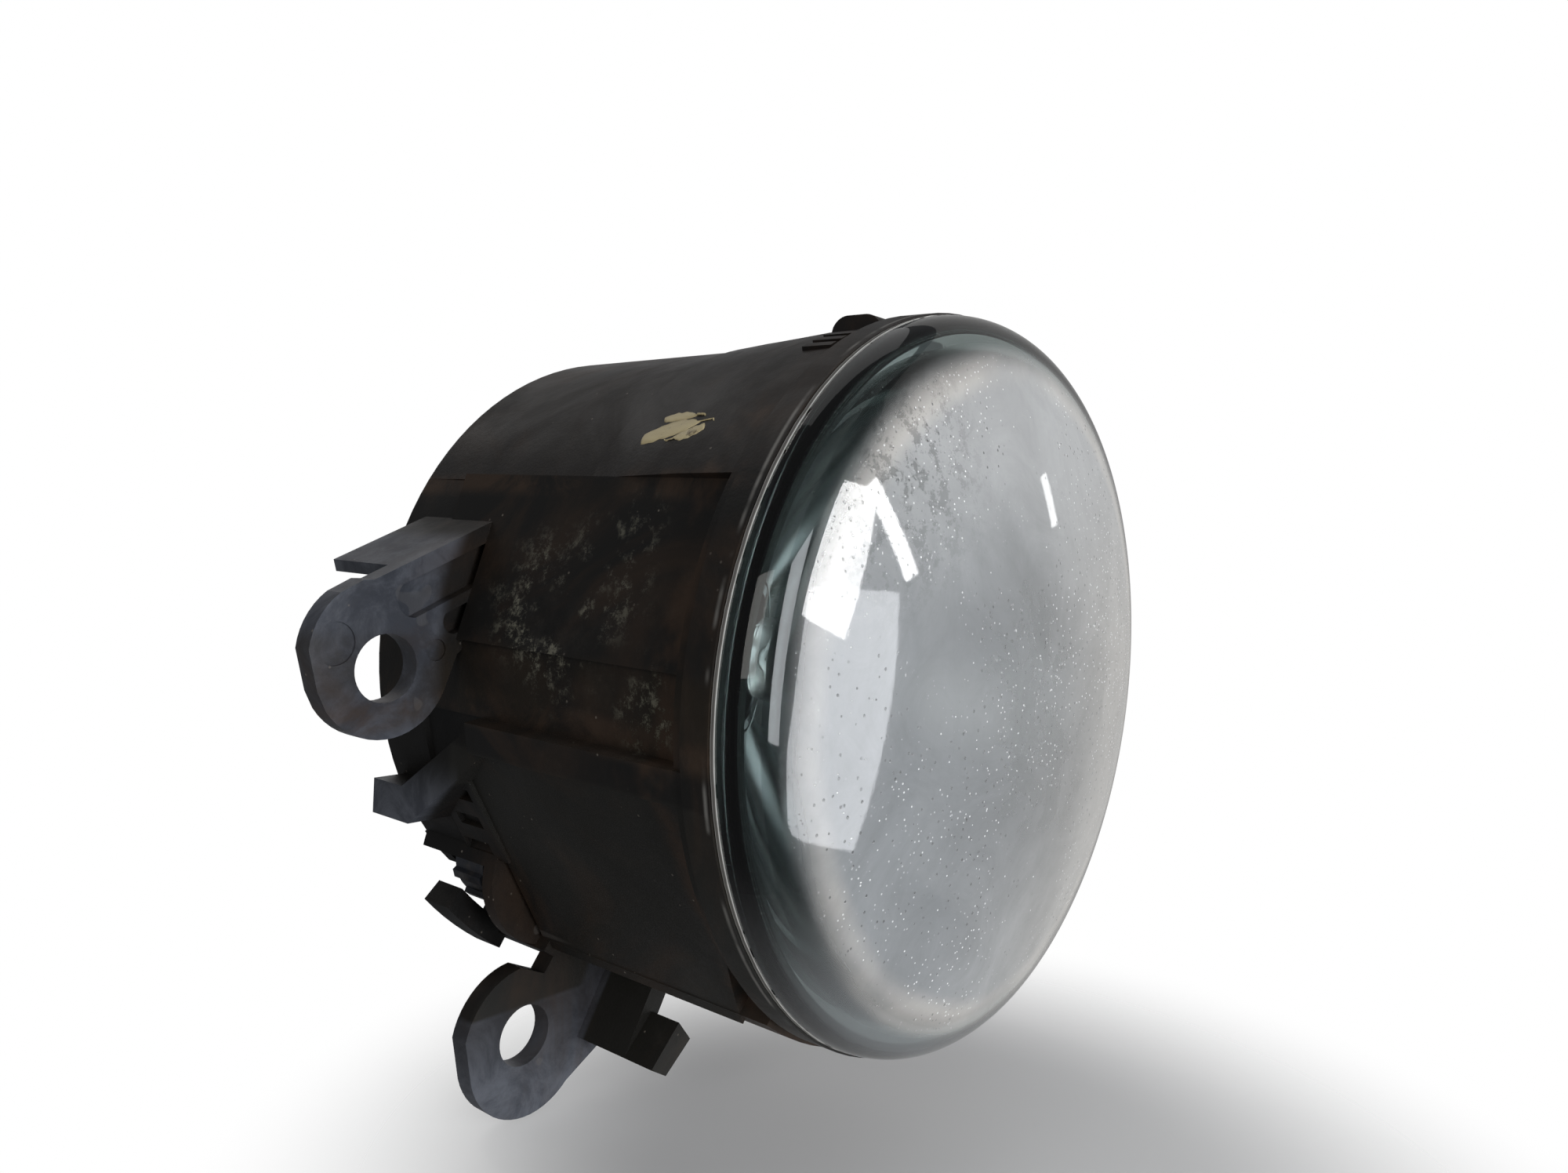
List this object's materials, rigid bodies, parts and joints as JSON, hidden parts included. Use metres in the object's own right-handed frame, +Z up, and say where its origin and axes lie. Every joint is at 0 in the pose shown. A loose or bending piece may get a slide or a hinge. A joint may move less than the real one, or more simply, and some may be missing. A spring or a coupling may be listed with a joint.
{
  "type": "fog light",
  "caption": "Round front fog light: thick domed glass lens glued into a black moulded housing with side and lower fixing ears, tilting reflector with beam adjuster, and a twist-in bulb.",
  "frame": {"origin": "on the optical axis at the front edge of the housing's collar, where the lens meets it", "axes": "+X to the right of someone facing the lens, +Y back into the car along the optical axis, +Z up"},
  "size_m": [0.122, 0.0958, 0.1039],
  "materials": {
    "housing_plastic": "moulded black plastic, dusty and rust-stained",
    "lens_glass": "thick clear glass, hazed and pitted on its face",
    "adhesive": "cured grey sealant bead",
    "reflector_metal": "vacuum-aluminised moulding, slightly dulled",
    "steel": "zinc-plated steel",
    "nylon": "natural nylon",
    "gear_plastic": "blue-grey moulded plastic",
    "seal_rubber": "moulded rubber",
    "bulb_quartz": "clear quartz with a black painted nose",
    "tungsten": "drawn tungsten",
    "base_plastic": "glass-filled black plastic",
    "bulb_seal_rubber": "orange silicone rubber",
    "terminal_tin": "tinned brass",
    "patch_cloth": "white breathable membrane"
  },
  "bodies": {
    "root": {"housing": "housing_plastic", "lens": "lens_glass", "lens_adhesive": "adhesive", "left_pivot_bush": "nylon", "right_pivot_bush": "nylon", "adjuster_seal": "seal_rubber", "vent_patch": "patch_cloth"},
    "tilting_reflector": {"reflector": "reflector_metal", "pivot_pins": "steel", "lug_clip": "nylon"},
    "adjuster": {"adjuster_screw": "steel", "adjuster_washer": "steel", "adjuster_gear": "gear_plastic"},
    "driven_nut": {"adjuster_nut": "nylon"},
    "bulb": {"bulb_glass": "bulb_quartz", "bulb_filament": "tungsten", "bulb_leads": "tungsten", "bulb_sleeve": "steel", "bulb_base": "base_plastic", "bulb_seal": "bulb_seal_rubber", "bulb_terminals": "terminal_tin"}
  },
  "joints": [
    {"name": "reflector_tilt", "type": "hinge", "parent": "root", "child": "tilting_reflector", "pos_m": [0, 0.0388, 0], "axis": [1, 0, 0], "range_deg": [-3, 3]},
    {"name": "adjuster_turn", "type": "hinge", "parent": "root", "child": "adjuster", "pos_m": [-0.0246, 0.0537, -0.0283], "axis": [0, 1, 0], "range_deg": [-360, 360]},
    {"name": "nut_travel", "type": "slide", "parent": "root", "child": "driven_nut", "axis": [0, 1, 0], "range_m": [-0.0015, 0.0015]},
    {"name": "bulb_twist", "type": "hinge", "parent": "root", "child": "bulb", "pos_m": [0, 0.0638, 0], "axis": [0, 1, 0], "range_deg": [0, 40]}
  ],
  "couplings": [
    {"joint": "nut_travel", "follows": "reflector_tilt", "m_per_rad": 0.0283},
    {"joint": "adjuster_turn", "follows": "reflector_tilt", "ratio": -118.54}
  ]
}
